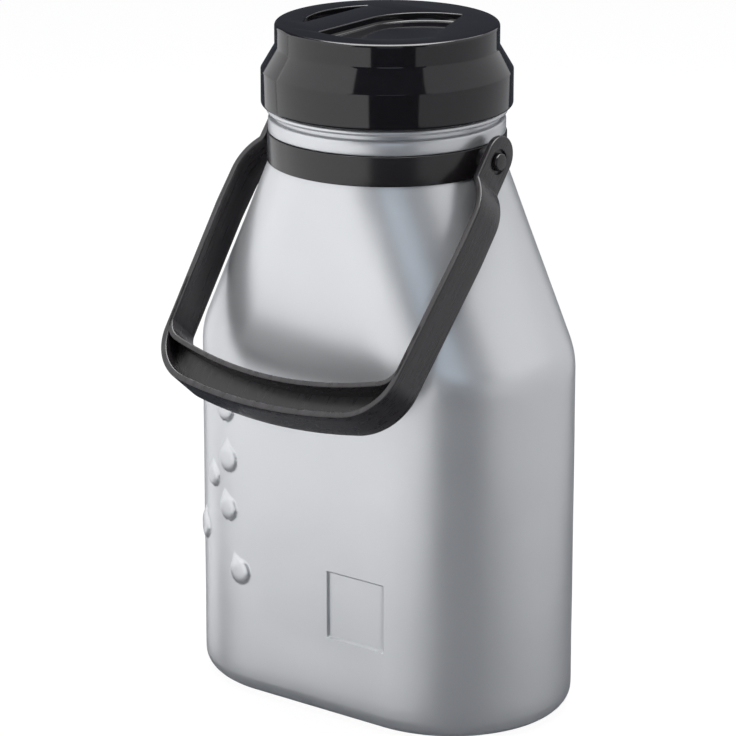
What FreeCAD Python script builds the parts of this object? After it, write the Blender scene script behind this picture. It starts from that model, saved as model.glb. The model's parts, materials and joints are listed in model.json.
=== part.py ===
import FreeCAD, Part
import math
import os

import Sketcher

# Plastic milk can, about two litres: a stadium-shaped can whose shoulder closes into a round
# neck, a screw lid with a grip ridge, and a bail handle hinged on a band clipped round the neck.
# Frame: millimetres, +Z up, origin at the centre of the base, X along the can's long side.
# The flat front with the square recess faces -Y. The bail hangs forward over it.

doc = FreeCAD.newDocument("MilkCan")
sheet = doc.addObject("Spreadsheet::Sheet", "Sizes")

SIZES = {
    # can
    "can_length": 151.6,
    "can_width": 90.5,
    "base_rounding": 7.0,
    "shoulder_height": 136.0,
    "shoulder_bend": 9.0,
    "neck_height": 204.3,
    "neck_radius": 43.3,
    "seat_land": 0.2,
    # square recess on the front, bare
    "badge_side": 26.1,
    "badge_left": 6.5,
    "badge_bottom": 31.8,
    "badge_depth": 0.7,
    # raised drops on the left end
    "drop_length": 14.0,
    "drop_radius": 5.2,
    "drop_relief": 1.7,
    "drop_sink": 0.3,
    # neck above the shoulder, from the band's seat up to the lid
    "seat_radius": 42.0,
    "band_rise": 11.0,
    "collar_radius": 43.5,
    "collar_height": 5.4,
    "groove_radius": 42.4,
    "groove_height": 1.8,
    "bead_radius": 44.2,
    "bead_height": 2.3,
    "spigot_radius": 38.5,
    "spigot_height": 23.0,
    # band and its hinge pins
    "band_radius": 43.9,
    "band_play": 0.1,
    "hinge_rise": 6.0,
    "boss_radius": 4.9,
    "pin_radius": 2.2,
    "pin_play": 0.06,
    "head_radius": 3.3,
    "head_height": 2.4,
    "side_play": 0.3,
    "sink_radius": 4.6,
    "sink_depth": 0.9,
    # lid
    "lid_play": 0.3,
    "lid_skirt_radius": 46.1,
    "lid_skirt_height": 13.1,
    "lid_foot_rounding": 1.2,
    "lid_crown_radius": 41.0,
    "lid_cone_height": 8.6,
    "lid_height": 30.0,
    "lid_top_rounding": 1.2,
    "scoop_reach": 30.5,
    "scoop_depth": 3.2,
    "ridge_left": 23.5,
    "ridge_right": 8.8,
    "ridge_flare": 27.0,
    # directions of the right scoop's corners, in degrees from the long axis
    "scoop_front": 22.0,
    "scoop_back": 62.0,
    "scoop_hook": 8.0,
    # bail handle, measured in its own plane from the hinge axis down
    "rest_play": 0.38,
    "bail_width": 15.4,
    "bail_thickness": 2.5,
    "eye_offset": 49.05,
    "eye_straight": 10.0,
    "bend_radius": 4.0,
    "arm_offset": 55.9,
    "arm_start": 23.0,
    "arm_taper": 3.2,
    "corner_radius": 19.2,
    "bar_radius": 198.3,
    "bar_reach": 111.9,
    "grip_thickness": 2.1,
    "grip_radius": 161.0,
    "grip_reach": 100.8,
    "grip_corner": 8.2,
    "grip_start": 70.0,
    "grip_inset": 0.15,
    "web_thickness": 2.5,
    "channel_depth": 8.0,
}

for row, (alias, value) in enumerate(SIZES.items(), start=1):
    sheet.set("A%d" % row, alias)
    sheet.set("B%d" % row, str(value))
    sheet.setAlias("B%d" % row, alias)
doc.recompute()


def size(alias):
    """Current value of a cell."""
    return float(sheet.get(alias))


def plane(body, role):
    """One of the body's own origin planes or axes."""
    return next(f for f in body.Origin.OriginFeatures if f.Role == role)


def new_body(label):
    body = doc.addObject("PartDesign::Body", label)
    body.Label = label
    return body


def new_sketch(body, name, role="XY_Plane", offset=None):
    """Sketch on an origin plane; offset is an expression for its distance from that plane."""
    sketch = body.newObject("Sketcher::SketchObject", name)
    sketch.AttachmentSupport = [(plane(body, role), "")]
    sketch.MapMode = "FlatFace"
    if offset:
        sketch.setExpression("AttachmentOffset.Base.z", offset)
    return sketch


def lock_point(sketch, geo, vertex, across, up):
    """Dimension one vertex from the sketch origin; across and up are expressions."""
    point = sketch.getPoint(geo, vertex)
    for kind, expression, value in (("DistanceX", across, point.x), ("DistanceY", up, point.y)):
        constraint = sketch.addConstraint(Sketcher.Constraint(kind, -1, 1, geo, vertex, value))
        sketch.setExpression("Constraints[%d]" % constraint, expression)


def bind(sketch, kind, geo, expression, value):
    """Radius or angle constraint held to a cell."""
    constraint = sketch.addConstraint(Sketcher.Constraint(kind, geo, value))
    sketch.setExpression("Constraints[%d]" % constraint, expression)


def evaluate(expression):
    """Number that an expression of sheet cells has now, for first positions."""
    value = sheet.evalExpression(expression)
    return float(getattr(value, "Value", value))


def side_between(start, end, radius):
    """Straight side, or the short arc of a given radius that bulges out of a CCW outline."""
    if radius is None:
        return Part.LineSegment(start, end)
    chord = end - start
    half = chord.Length / 2
    outward = FreeCAD.Vector(chord.y, -chord.x, 0).normalize()
    rise = radius - math.sqrt(radius ** 2 - half ** 2)
    crest = start + chord / 2 + outward * rise
    return Part.Arc(start, crest, end)


def outline(sketch, corners, radii=None):
    """Closed outline whose corners are pairs of expressions; radii names the arcs, by side."""
    points = [FreeCAD.Vector(evaluate(x), evaluate(y), 0) for x, y in corners]
    count = len(points)
    radii = radii or {}
    for index in range(count):
        radius = evaluate(radii[index]) if index in radii else None
        following = points[(index + 1) % count]
        sketch.addGeometry(side_between(points[index], following, radius), False)
    for index, (x, y) in enumerate(corners):
        following = (index + 1) % count
        sketch.addConstraint(Sketcher.Constraint("Coincident", index, 2, following, 1))
        lock_point(sketch, index, 1, x, y)
    for index, radius in radii.items():
        bind(sketch, "Radius", index, radius, evaluate(radius))


def stadium(sketch, half_span, radius):
    """Two half circles joined by straights; half_span and radius are expressions."""
    c = evaluate(half_span)
    r = evaluate(radius)
    normal = FreeCAD.Vector(0, 0, 1)
    right = Part.Circle(FreeCAD.Vector(c, 0, 0), normal, r)
    left = Part.Circle(FreeCAD.Vector(-c, 0, 0), normal, r)
    sketch.addGeometry(Part.ArcOfCircle(right, -math.pi / 2, math.pi / 2), False)
    sketch.addGeometry(Part.LineSegment(FreeCAD.Vector(c, r, 0), FreeCAD.Vector(-c, r, 0)), False)
    sketch.addGeometry(Part.ArcOfCircle(left, math.pi / 2, 3 * math.pi / 2), False)
    sketch.addGeometry(Part.LineSegment(FreeCAD.Vector(-c, -r, 0), FreeCAD.Vector(c, -r, 0)), False)
    for first, second in ((0, 1), (1, 2), (2, 3), (3, 0)):
        sketch.addConstraint(Sketcher.Constraint("Tangent", first, 2, second, 1))
    sketch.addConstraint(Sketcher.Constraint("Equal", 0, 2))
    lock_point(sketch, 0, 3, half_span, "0")
    lock_point(sketch, 2, 3, "-(%s)" % half_span, "0")
    bind(sketch, "Radius", 0, radius, r)


def add_feature(body, kind, name, **values):
    """PartDesign feature; text is an expression, anything else is set as it is."""
    feature = body.newObject("PartDesign::" + kind, name)
    for key, value in values.items():
        if isinstance(value, str) and value.startswith("="):
            feature.setExpression(key, value[1:])
        else:
            setattr(feature, key, value)
    return feature


def edges_where(feature, wanted):
    """Names of the feature's edges whose curve passes the test."""
    edges = enumerate(feature.Shape.Edges, start=1)
    return ["Edge%d" % number for number, edge in edges if wanted(edge)]


def lies_at(height):
    """Test for edges that lie flat at one height."""
    def wanted(edge):
        box = edge.BoundBox
        return abs(box.ZMin - height) < 0.01 and abs(box.ZMax - height) < 0.01
    return wanted


def round_edges(body, base, name, radius, wanted):
    """Fillet on the chosen edges of the latest feature."""
    doc.recompute()
    return add_feature(body, "Fillet", name, Base=(base, edges_where(base, wanted)), Radius=radius)


# ---------------------------------------------------------------- can
can = new_body("CanShell")

HALF_SPAN = "(Sizes.can_length - Sizes.can_width) / 2"
END_RADIUS = "Sizes.can_width / 2"
# how fast the straights shorten and the section narrows with height above the shoulder
SPAN_SLOPE = HALF_SPAN + " / (Sizes.neck_height - Sizes.shoulder_height)"
WIDTH_SLOPE = "(%s - Sizes.neck_radius) / (Sizes.neck_height - Sizes.shoulder_height)" % END_RADIUS
BEND_STEPS = 4


def shoulder_bend():
    """Height, half span and radius of each section of the bend, as expressions.

    The bend is a parabola, tangent to the upright wall below and to the slope above.
    """
    for step in range(BEND_STEPS + 1):
        along = step / BEND_STEPS
        height = "Sizes.shoulder_height + Sizes.shoulder_bend * %g" % (2 * along - 1)
        drop = "Sizes.shoulder_bend * %g" % along ** 2
        half_span = "%s - %s * %s" % (HALF_SPAN, SPAN_SLOPE, drop)
        radius = "%s - %s * %s" % (END_RADIUS, WIDTH_SLOPE, drop)
        yield height, half_span, radius


foot_outline = new_sketch(can, "FootOutline")
stadium(foot_outline, HALF_SPAN, END_RADIUS)
foot = add_feature(can, "Pad", "Foot", Profile=foot_outline,
                   Length="=Sizes.shoulder_height - Sizes.shoulder_bend")
bend_lines = []
section_table = []
for number, (height, half_span, radius) in enumerate(shoulder_bend(), start=1):
    line = new_sketch(can, "BendLine%d" % number, offset=height)
    stadium(line, half_span, radius)
    bend_lines.append(line)
    section_table.append((evaluate(height), evaluate(half_span), evaluate(radius)))
bend = add_feature(can, "AdditiveLoft", "ShoulderBend", Profile=bend_lines[0], Sections=bend_lines[1:])
neck_line = new_sketch(can, "NeckLine", offset="Sizes.neck_height")
stadium(neck_line, "Sizes.seat_land", "Sizes.neck_radius")
section_table.append((size("neck_height"), size("seat_land"), size("neck_radius")))
slope = add_feature(can, "AdditiveLoft", "ShoulderSlope", Profile=bend_lines[-1],
                    Sections=[neck_line], Ruled=True)
foot_edge = round_edges(can, slope, "FootRounding", "=Sizes.base_rounding", lies_at(0))

# neck: the band's seat, a collar, a groove, a bead and the spigot that the lid covers
neck_steps = [
    ("Sizes.seat_radius", "Sizes.band_rise + Sizes.band_play"),
    ("Sizes.collar_radius", "Sizes.collar_height"),
    ("Sizes.groove_radius", "Sizes.groove_height"),
    ("Sizes.bead_radius", "Sizes.bead_height"),
    ("Sizes.spigot_radius", "Sizes.spigot_height"),
]
corners = [("0", "Sizes.neck_height - Sizes.base_rounding")]
level = "Sizes.neck_height"
corners.append((neck_steps[0][0], corners[0][1]))
for radius, height in neck_steps:
    if len(corners) > 2:
        corners.append((radius, level))
    level = "%s + %s" % (level, height)
    corners.append((radius, level))
corners.append(("0", level))
neck_profile = new_sketch(can, "NeckProfile", role="XZ_Plane")
outline(neck_profile, corners)
neck = add_feature(can, "Revolution", "Neck", Profile=neck_profile, Angle=360.0,
                   ReferenceAxis=(neck_profile, ["V_Axis"]))

# bare square recess low on the front
badge_outline = new_sketch(can, "BadgeOutline", role="XZ_Plane", offset=END_RADIUS)
badge_right = "Sizes.badge_left + Sizes.badge_side"
badge_top = "Sizes.badge_bottom + Sizes.badge_side"
outline(badge_outline, [("Sizes.badge_left", "Sizes.badge_bottom"), (badge_right, "Sizes.badge_bottom"),
                        (badge_right, badge_top), ("Sizes.badge_left", badge_top)])
badge = add_feature(can, "Pocket", "Badge", Profile=badge_outline, Length="=Sizes.badge_depth")
doc.recompute()


# ---------------------------------------------------------------- drops
# Azimuth from the front round the left end, height of the bulb's centre, lean of the tip
# towards the back, and size against the full drop. The row runs on round the end.
DROPS = [
    (15.2, 111.2, 0, 1.0), (13.4, 91.8, 0, 1.0), (26.3, 82.7, 0, 0.86), (13.5, 72.3, 15, 0.95),
    (39.0, 59.5, 0, 1.0), (5.5, 48.7, 23, 0.95), (68.0, 96.0, 0, 1.0), (78.0, 73.0, -12, 0.9),
    (96.0, 106.0, 10, 0.95), (104.0, 55.0, 0, 1.0), (124.0, 86.0, -18, 0.9),
]


def make_drop(scale):
    """Flattened drop at the origin: a ball with a tangent cone, tip up, relief along -Y."""
    radius = size("drop_radius") * scale
    tip = size("drop_length") * scale - radius
    touch = math.asin(radius / tip)
    low = FreeCAD.Vector(0, 0, -radius)
    side = FreeCAD.Vector(0, radius, 0)
    tangent_point = FreeCAD.Vector(0, radius * math.cos(touch), radius * math.sin(touch))
    top = FreeCAD.Vector(0, 0, tip)
    ball = Part.Arc(low, side, tangent_point).toShape()
    wire = Part.Wire([ball, Part.makeLine(tangent_point, top), Part.makeLine(top, low)])
    solid = Part.Face(wire).revolve(FreeCAD.Vector(0, 0, 0), FreeCAD.Vector(0, 0, 1), 360)
    flatten = FreeCAD.Matrix()
    flatten.scale(1, (size("drop_relief") + size("drop_sink")) / radius, 1)
    return solid.transformGeometry(flatten)


drops = []
end_radius = size("can_width") / 2
end_centre = FreeCAD.Vector(-(size("can_length") / 2 - end_radius), 0, 0)
for number, (azimuth, height, lean, scale) in enumerate(DROPS, start=1):
    drop = doc.addObject("Part::Feature", "Drop%02d" % number)
    drop.Shape = make_drop(scale)
    turn = FreeCAD.Rotation(FreeCAD.Vector(0, 0, 1), -azimuth)
    tilt = FreeCAD.Rotation(FreeCAD.Vector(0, 1, 0), -lean)
    outward = turn.multVec(FreeCAD.Vector(0, size("drop_sink") - end_radius, 0))
    foot_point = end_centre + outward + FreeCAD.Vector(0, 0, height)
    drop.Placement = FreeCAD.Placement(foot_point, turn.multiply(tilt))
    drops.append(drop)
can_body = doc.addObject("Part::MultiFuse", "CanBody")
can_body.Label = "can_body"
can_body.Shapes = [can] + drops
doc.recompute()

# ---------------------------------------------------------------- band
band = new_body("neck_band")
band_profile = new_sketch(band, "BandProfile", role="XZ_Plane")
BAND_BORE = "Sizes.seat_radius + Sizes.band_play"
BAND_TOP = "Sizes.neck_height + Sizes.band_rise"
outline(band_profile, [(BAND_BORE, "Sizes.neck_height"), ("Sizes.band_radius", "Sizes.neck_height"),
                       ("Sizes.band_radius", BAND_TOP), (BAND_BORE, BAND_TOP)])
band_ring = add_feature(band, "Revolution", "BandRing", Profile=band_profile, Angle=360.0,
                        ReferenceAxis=(band_profile, ["V_Axis"]))

EYE_INNER = "Sizes.eye_offset - Sizes.bail_thickness / 2"
EYE_OUTER = "Sizes.eye_offset + Sizes.bail_thickness / 2"
HEAD_FACE = EYE_OUTER + " - Sizes.sink_depth + Sizes.side_play"
HINGE_HEIGHT = "Sizes.neck_height + Sizes.hinge_rise"
# boss, pin and head, each from one plane across the hinge axis to the next
PIN_STEPS = [
    ("Boss", "Sizes.boss_radius", "(Sizes.seat_radius + Sizes.band_radius) / 2",
     EYE_INNER + " - Sizes.side_play"),
    ("Pin", "Sizes.pin_radius", EYE_INNER + " - Sizes.side_play", HEAD_FACE),
    ("Head", "Sizes.head_radius", HEAD_FACE, HEAD_FACE + " + Sizes.head_height"),
]
turned = []
for name, radius, start, end in PIN_STEPS:
    circle = new_sketch(band, name + "Circle", role="YZ_Plane", offset=start)
    centre = FreeCAD.Vector(0, evaluate(HINGE_HEIGHT), 0)
    circle.addGeometry(Part.Circle(centre, FreeCAD.Vector(0, 0, 1), evaluate(radius)), False)
    lock_point(circle, 0, 3, "0", HINGE_HEIGHT)
    bind(circle, "Radius", 0, radius, evaluate(radius))
    turned.append(add_feature(band, "Pad", name, Profile=circle, Length="=%s - (%s)" % (end, start)))
far_side = add_feature(band, "Mirrored", "FarHinge", Originals=turned,
                       MirrorPlane=(plane(band, "YZ_Plane"), [""]))
band.Tip = far_side
doc.recompute()

# ---------------------------------------------------------------- lid
lid = new_body("lid")
BEAD_TOP = ("Sizes.neck_height + Sizes.band_rise + Sizes.band_play + Sizes.collar_height"
            " + Sizes.groove_height + Sizes.bead_height")
SPIGOT_TOP = BEAD_TOP + " + Sizes.spigot_height"
LID_FOOT = BEAD_TOP + " + Sizes.lid_play"
LID_TOP = LID_FOOT + " + Sizes.lid_height"
LID_BORE = "Sizes.spigot_radius + Sizes.lid_play"
SKIRT_TOP = LID_FOOT + " + Sizes.lid_skirt_height"
CONE_TOP = SKIRT_TOP + " + Sizes.lid_cone_height"
lid_profile = new_sketch(lid, "LidProfile", role="XZ_Plane")
outline(lid_profile, [
    ("0", SPIGOT_TOP), (LID_BORE, SPIGOT_TOP), (LID_BORE, LID_FOOT),
    ("Sizes.lid_skirt_radius", LID_FOOT), ("Sizes.lid_skirt_radius", SKIRT_TOP),
    ("Sizes.lid_crown_radius", CONE_TOP), ("Sizes.lid_crown_radius", LID_TOP), ("0", LID_TOP),
])
lid_cap = add_feature(lid, "Revolution", "LidCap", Profile=lid_profile, Angle=360.0,
                      ReferenceAxis=(lid_profile, ["V_Axis"]))

# two finger scoops leave a ridge across the lid, flared at its back end
REACH = "Sizes.scoop_reach"
RIGHT_CHORD = "sqrt(%s ^ 2 - Sizes.ridge_right ^ 2)" % REACH
LEFT_CHORD = "sqrt(%s ^ 2 - Sizes.ridge_left ^ 2)" % REACH
right_scoop = new_sketch(lid, "RightScoopOutline", offset=LID_TOP)
outline(right_scoop, [
    ("-Sizes.ridge_right", "-(%s)" % RIGHT_CHORD),
    (REACH + " * cos(Sizes.scoop_front)", "-%s * sin(Sizes.scoop_front)" % REACH),
    (REACH + " * cos(Sizes.scoop_back)", REACH + " * sin(Sizes.scoop_back)"),
    ("-Sizes.ridge_right", REACH + " * sin(Sizes.scoop_hook)"),
], {0: REACH, 2: "Sizes.ridge_flare"})
left_scoop = new_sketch(lid, "LeftScoopOutline", offset=LID_TOP)
outline(left_scoop, [
    ("-Sizes.ridge_left", LEFT_CHORD), ("-Sizes.ridge_left", "-(%s)" % LEFT_CHORD),
], {0: REACH})
scoops = [
    add_feature(lid, "Pocket", "RightScoop", Profile=right_scoop, Length="=Sizes.scoop_depth"),
    add_feature(lid, "Pocket", "LeftScoop", Profile=left_scoop, Length="=Sizes.scoop_depth"),
]


def on_rim(radius, height):
    """Test for the full circle of one radius at one height."""
    def wanted(edge):
        return lies_at(height)(edge) and abs(edge.Length - 2 * math.pi * radius) < 0.01
    return wanted


top_round = round_edges(lid, scoops[-1], "LidTopRounding", "=Sizes.lid_top_rounding",
                        on_rim(size("lid_crown_radius"), evaluate(LID_TOP)))
foot_round = round_edges(lid, top_round, "LidFootRounding", "=Sizes.lid_foot_rounding",
                         on_rim(size("lid_skirt_radius"), evaluate(LID_FOOT)))

# ---------------------------------------------------------------- bail handle
# Built hanging straight down from the hinge axis at the origin, one half, then mirrored.
bail = new_body("handle")


def bail_run(sketch, start, reach, bar_radius, corner):
    """Arm, corner and crossbar of one half of the bail, each tangent to the next.

    start is the arm's upper end as a pair of expressions; the crossbar ends at the middle.
    """
    x, y = (evaluate(value) for value in start)
    lean = math.radians(size("arm_taper"))
    bottom = evaluate(reach)
    bar = evaluate(bar_radius)
    bend = evaluate(corner)
    down = FreeCAD.Vector(-math.sin(lean), -math.cos(lean), 0)
    inward = FreeCAD.Vector(-math.cos(lean), math.sin(lean), 0)
    bar_centre = FreeCAD.Vector(0, bar - bottom, 0)
    # the corner's centre keeps its radius from the arm and from the crossbar
    offset = FreeCAD.Vector(x, y, 0) + inward * bend - bar_centre
    along = offset.dot(down)
    travel = -along + math.sqrt(along ** 2 - offset.dot(offset) + (bar - bend) ** 2)
    corner_centre = bar_centre + offset + down * travel
    arm_end = FreeCAD.Vector(x, y, 0) + down * travel
    heading = math.atan2(corner_centre.y - bar_centre.y, corner_centre.x - bar_centre.x)
    normal = FreeCAD.Vector(0, 0, 1)
    corner_circle = Part.Circle(corner_centre, normal, bend)
    bar_circle = Part.Circle(bar_centre, normal, bar)
    arm = sketch.addGeometry(Part.LineSegment(arm_end, FreeCAD.Vector(x, y, 0)), False)
    turn = sketch.addGeometry(Part.ArcOfCircle(corner_circle, heading, -lean), False)
    crossbar = sketch.addGeometry(Part.ArcOfCircle(bar_circle, -math.pi / 2, heading), False)
    sketch.addConstraint(Sketcher.Constraint("Tangent", arm, 1, turn, 2))
    sketch.addConstraint(Sketcher.Constraint("Tangent", turn, 1, crossbar, 2))
    lock_point(sketch, arm, 2, *start)
    lock_point(sketch, crossbar, 3, "0", "%s - %s" % (bar_radius, reach))
    lock_point(sketch, crossbar, 1, "0", "-" + reach)
    bind(sketch, "Radius", turn, corner, bend)
    tilt = sketch.addConstraint(Sketcher.Constraint("Angle", arm, math.pi / 2 - lean))
    sketch.setExpression("Constraints[%d]" % tilt, "(90 - Sizes.arm_taper) * 1 deg")
    return arm, turn, crossbar


def bail_offset(sketch, arm, bend_radius):
    """S-bend and upright strap between the arm's upper end and the hinge eye."""
    r = evaluate(bend_radius)
    lean = math.radians(size("arm_taper"))
    eye_end = FreeCAD.Vector(size("eye_offset"), -size("eye_straight"), 0)
    arm_top = sketch.getPoint(arm, 2)
    upper = eye_end + FreeCAD.Vector(r, 0, 0)
    lower = arm_top + FreeCAD.Vector(-math.cos(lean), math.sin(lean), 0) * r
    between = lower - upper
    heading = math.atan2(between.y, between.x) + math.asin(2 * r / between.Length)
    across = FreeCAD.Vector(math.sin(heading), -math.cos(heading), 0)
    face = math.atan2(across.y, across.x) % (2 * math.pi)
    normal = FreeCAD.Vector(0, 0, 1)
    upper_bend = Part.ArcOfCircle(Part.Circle(upper, normal, r), math.pi, face)
    lower_bend = Part.ArcOfCircle(Part.Circle(lower, normal, r), -lean, face - math.pi)
    low = sketch.addGeometry(lower_bend, False)
    slant = sketch.addGeometry(Part.LineSegment(lower - across * r, upper + across * r), False)
    high = sketch.addGeometry(upper_bend, False)
    top = FreeCAD.Vector(eye_end.x, 0, 0)
    strap = sketch.addGeometry(Part.LineSegment(eye_end, top), False)
    sketch.addConstraint(Sketcher.Constraint("Tangent", arm, 2, low, 1))
    sketch.addConstraint(Sketcher.Constraint("Tangent", low, 2, slant, 1))
    sketch.addConstraint(Sketcher.Constraint("Tangent", slant, 2, high, 2))
    sketch.addConstraint(Sketcher.Constraint("Tangent", high, 1, strap, 1))
    lock_point(sketch, strap, 1, "Sizes.eye_offset", "-Sizes.eye_straight")
    sketch.addConstraint(Sketcher.Constraint("PointOnObject", strap, 2, -1))
    sketch.addConstraint(Sketcher.Constraint("Vertical", strap))
    bind(sketch, "Radius", low, bend_radius, r)
    bind(sketch, "Radius", high, bend_radius, r)


def strap_section(name, centre, thickness, level):
    """Rectangle across the strap, thickness along X and the bail's width along Y."""
    section = new_sketch(bail, name, offset=level)
    inner = "%s - %s / 2" % (centre, thickness)
    outer = "%s + %s / 2" % (centre, thickness)
    half = "Sizes.bail_width / 2"
    outline(section, [(inner, "-" + half), (outer, "-" + half), (outer, half), (inner, half)])
    return section


ARM_TOP = ("Sizes.arm_offset", "-Sizes.arm_start")
STRAP_AT_GRIP = "Sizes.arm_offset - (Sizes.grip_start - Sizes.arm_start) * tan(Sizes.arm_taper)"
# the grip wall leaves the arm from within its thickness
GRIP_AT_ARM = STRAP_AT_GRIP + " - Sizes.grip_inset"
GRIP_TOP = (GRIP_AT_ARM, "-Sizes.grip_start")
STRAP_RUN = ("Sizes.bar_reach", "Sizes.bar_radius", "Sizes.corner_radius")
GRIP_RUN = ("Sizes.grip_reach", "Sizes.grip_radius", "Sizes.grip_corner")

strap_path = new_sketch(bail, "StrapPath", role="XZ_Plane")
strap_arm = bail_run(strap_path, ARM_TOP, *STRAP_RUN)[0]
bail_offset(strap_path, strap_arm, "Sizes.bend_radius")
strap_profile = strap_section("StrapSection", "Sizes.eye_offset", "Sizes.bail_thickness", "0")
strap = add_feature(bail, "AdditivePipe", "Strap", Profile=strap_profile, Spine=(strap_path, []))

grip_path = new_sketch(bail, "GripPath", role="XZ_Plane")
bail_run(grip_path, GRIP_TOP, *GRIP_RUN)
grip_profile = strap_section("GripSection", GRIP_AT_ARM, "Sizes.grip_thickness", "-Sizes.grip_start")
grip = add_feature(bail, "AdditivePipe", "GripWall", Profile=grip_profile, Spine=(grip_path, []))

# web between the two walls of the crossbar: strap run, middle line, grip run back to the arm
web_outline = new_sketch(bail, "WebOutline", role="XZ_Plane",
                         offset="Sizes.bail_width / 2 - Sizes.channel_depth")
outer_arm, _, outer_bar = bail_run(web_outline, (STRAP_AT_GRIP, "-Sizes.grip_start"), *STRAP_RUN)
inner_arm, _, inner_bar = bail_run(web_outline, GRIP_TOP, *GRIP_RUN)
for first, first_end, second, second_end in ((outer_bar, 1, inner_bar, 1), (inner_arm, 2, outer_arm, 2)):
    start = web_outline.getPoint(first, first_end)
    end = web_outline.getPoint(second, second_end)
    closing = web_outline.addGeometry(Part.LineSegment(start, end), False)
    web_outline.addConstraint(Sketcher.Constraint("Coincident", closing, 1, first, first_end))
    web_outline.addConstraint(Sketcher.Constraint("Coincident", closing, 2, second, second_end))
web = add_feature(bail, "Pad", "Web", Profile=web_outline, Length="=Sizes.web_thickness",
                  Reversed=True)


def eye_circle(name, radius, level):
    """Circle round the hinge axis on a plane across it."""
    circle = new_sketch(bail, name, role="YZ_Plane", offset=level)
    origin = FreeCAD.Vector(0, 0, 0)
    circle.addGeometry(Part.Circle(origin, FreeCAD.Vector(0, 0, 1), evaluate(radius)), False)
    circle.addConstraint(Sketcher.Constraint("Coincident", 0, 3, -1, 1))
    bind(circle, "Radius", 0, radius, evaluate(radius))
    return circle


eye_disc = eye_circle("EyeDisc", "Sizes.bail_width / 2", EYE_INNER)
eye = add_feature(bail, "Pad", "Eye", Profile=eye_disc, Length="=Sizes.bail_thickness")
eye_bore = eye_circle("EyeBore", "Sizes.pin_radius + Sizes.pin_play", EYE_OUTER)
bore = add_feature(bail, "Pocket", "Bore", Profile=eye_bore, Length="=Sizes.bail_thickness")
sink_circle = eye_circle("SinkCircle", "Sizes.sink_radius", EYE_OUTER)
sink = add_feature(bail, "Pocket", "Sink", Profile=sink_circle, Length="=Sizes.sink_depth")
doc.recompute()
other_half = add_feature(bail, "Mirrored", "OtherHalf", MirrorPlane=(plane(bail, "YZ_Plane"), [""]),
                         Originals=[strap, grip, web, eye, bore, sink])
bail.Tip = other_half


# The bail is lowered from level over the front until its next step would touch the can.
ANGLE_STEP = 0.1
LEVEL = 90.0
EDGE_POINTS = 9
hinge_height = evaluate(HINGE_HEIGHT)
neck_reach = max(size("band_radius"), size("bead_radius"))
inset = size("bail_thickness") / 2
half_width = size("bail_width") / 2
strap_points = [point for edge in strap_path.Shape.Edges for point in edge.discretize(Number=EDGE_POINTS)]


def section_at(height):
    """Half span and radius of the can at one height."""
    lowest = section_table[0]
    if height <= lowest[0]:
        return lowest[1:]
    for (low, span, radius), (high, next_span, next_radius) in zip(section_table, section_table[1:]):
        if height <= high:
            share = (height - low) / (high - low)
            return span + (next_span - span) * share, radius + (next_radius - radius) * share
    return 0.0, neck_reach


def clears_can(angle):
    """True when both inner edges of the strap, swung forward by an angle, keep their play."""
    sine = math.sin(math.radians(angle))
    cosine = math.cos(math.radians(angle))
    for point in strap_points:
        for across in (-half_width, half_width):
            forward = -point.z * sine + across * cosine
            span, radius = section_at(hinge_height + point.z * cosine + across * sine)
            beside = max(point.x - inset - span, 0)
            if math.hypot(beside, forward) < radius + size("rest_play"):
                return False
    return True


rest_angle = LEVEL
while rest_angle > 0 and clears_can(rest_angle - ANGLE_STEP):
    rest_angle -= ANGLE_STEP

bail.Placement = FreeCAD.Placement(FreeCAD.Vector(0, 0, 0), FreeCAD.Vector(1, 0, 0), -rest_angle)
bail.setExpression("Placement.Base.z", HINGE_HEIGHT)
doc.recompute()

# ---------------------------------------------------------------- check and export
for item in doc.Objects:
    if "Invalid" in item.State or "Error" in item.State:
        raise RuntimeError("%s did not build: %s" % (item.Name, item.State))
nodes = [can_body, band, lid, bail]
for node in nodes:
    if node.Shape.isNull() or not node.Shape.isValid() or len(node.Shape.Solids) != 1:
        raise RuntimeError(node.Label + " is not one sound solid")
os.makedirs("parts", exist_ok=True)
for node in nodes:
    node.Shape.exportStep("parts/%s.step" % node.Label)
    print(node.Label, round(node.Shape.Volume / 1000, 1), "cm3")
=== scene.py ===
import json
import math

import bpy
import numpy as np
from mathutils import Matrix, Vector
from mathutils.geometry import tessellate_polygon


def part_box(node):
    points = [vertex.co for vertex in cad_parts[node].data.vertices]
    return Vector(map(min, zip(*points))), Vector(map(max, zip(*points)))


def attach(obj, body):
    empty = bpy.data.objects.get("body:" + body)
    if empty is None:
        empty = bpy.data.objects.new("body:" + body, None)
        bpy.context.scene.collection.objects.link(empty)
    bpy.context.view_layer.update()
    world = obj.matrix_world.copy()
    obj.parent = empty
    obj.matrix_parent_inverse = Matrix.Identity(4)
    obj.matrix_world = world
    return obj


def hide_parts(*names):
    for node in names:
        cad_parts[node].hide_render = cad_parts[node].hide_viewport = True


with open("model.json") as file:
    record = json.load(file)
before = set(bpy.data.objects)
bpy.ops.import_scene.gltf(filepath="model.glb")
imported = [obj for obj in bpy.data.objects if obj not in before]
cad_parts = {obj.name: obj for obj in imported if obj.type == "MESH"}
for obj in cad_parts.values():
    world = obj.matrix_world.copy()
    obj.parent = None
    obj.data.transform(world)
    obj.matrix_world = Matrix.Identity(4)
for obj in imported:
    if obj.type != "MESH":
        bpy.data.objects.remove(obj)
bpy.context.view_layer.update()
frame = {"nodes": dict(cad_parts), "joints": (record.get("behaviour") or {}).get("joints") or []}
mm = 0.001


def packedBox(node):
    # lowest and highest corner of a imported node, to a hundredth of a millimetre
    return np.round(np.array(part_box(node), float) / mm, 2)


canHigh = packedBox("can_body")[1]
bandLow, bandHigh = packedBox("neck_band")
lidLow, lidHigh = packedBox("lid")
hingeHeight = frame["joints"][0]["pos_m"][2] / mm
print("frame loaded:", sorted(frame["nodes"]))


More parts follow.
